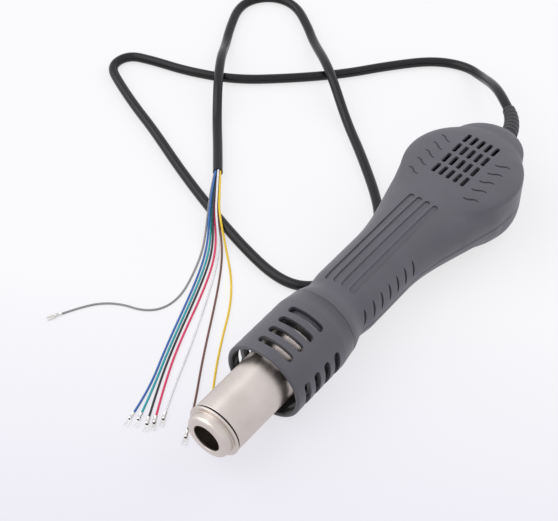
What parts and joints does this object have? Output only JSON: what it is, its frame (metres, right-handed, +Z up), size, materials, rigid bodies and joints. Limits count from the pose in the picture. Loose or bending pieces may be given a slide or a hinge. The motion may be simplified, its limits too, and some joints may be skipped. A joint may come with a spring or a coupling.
{
  "type": "hot air rework handle",
  "caption": "Hand-held hot air gun: slotted collar, bright nozzle tube, fluted grip, round fan drum with grille, ribbed boot and a long cable that ends in loose wires with crimps.",
  "frame": {"origin": "centre of the underside of the handle's box, on the surface that it lies on", "axes": "+X along the handle from the mouth to the cable end, +Z up, +Y to the side where the cable lies"},
  "size_m": [0.2985, 0.2449, 0.04],
  "materials": {
    "bright_steel": "polished",
    "zinc_steel": "zinc plated",
    "mica": "matte mica sheet",
    "quartz": "clear",
    "ceramic": "unglazed ceramic",
    "heater_wire": "oxidised resistance wire",
    "brass_tab": "plain",
    "shell_plastic": "fine grained",
    "collar_plastic": "fine grained",
    "fan_plastic": "moulded",
    "magnet": "dark ferrite",
    "iron_core": "stamped sheets",
    "copper": "enamelled copper",
    "board": "green laminate",
    "cable_rubber": "smooth",
    "boot_rubber": "ribbed",
    "lead_white": "sleeved",
    "lead_red": "smooth",
    "lead_green": "smooth",
    "tinned_brass": "tinned",
    "insulation_grey": "smooth",
    "insulation_blue": "smooth",
    "insulation_teal": "smooth",
    "insulation_black": "smooth",
    "insulation_pink": "smooth",
    "insulation_white": "smooth",
    "insulation_brown": "smooth",
    "insulation_yellow": "smooth"
  },
  "bodies": {
    "handle": {"nozzle_neck": "bright_steel", "nozzle_tube": "bright_steel", "seal_ring": "mica", "mounting_ring": "zinc_steel", "tube_screws": "zinc_steel", "earth_terminal": "brass_tab", "mica_sleeve": "mica", "quartz_sleeve": "quartz", "heater_base": "ceramic", "heater_former": "ceramic", "heater_coil": "heater_wire", "temperature_probe": "bright_steel", "front_collar": "collar_plastic", "upper_shell": "shell_plastic", "lower_shell": "shell_plastic", "shell_screws": "zinc_steel", "blower_housing": "fan_plastic", "blower_cover": "fan_plastic", "cover_screws": "zinc_steel", "lower_bearing": "bright_steel", "upper_bearing": "bright_steel", "stator_core": "iron_core", "stator_coils": "copper", "motor_board": "board", "reed_switch_board": "board", "reed_switch": "quartz", "cable_end": "cable_rubber", "cable_clamp": "fan_plastic", "clamp_screws": "zinc_steel", "strain_relief_boot": "boot_rubber", "heater_leads": "lead_white", "sensor_leads": "lead_red", "fan_leads": "lead_red", "earth_lead": "lead_green", "cable_jacket": "cable_rubber", "wire_terminals": "tinned_brass", "wire_grey": "insulation_grey", "wire_blue": "insulation_blue", "wire_teal": "insulation_teal", "wire_black": "insulation_black", "wire_pink": "insulation_pink", "wire_white": "insulation_white", "wire_brown": "insulation_brown", "wire_yellow": "insulation_yellow"},
    "fan_rotor": {"impeller": "fan_plastic", "rotor_magnet": "magnet", "rotor_shaft": "bright_steel"}
  },
  "joints": [
    {"name": "fan_spin", "type": "hinge", "parent": "handle", "child": "fan_rotor", "pos_m": [0.0775, 0, 0.02], "axis": [0, 0, 1], "continuous": true}
  ]
}
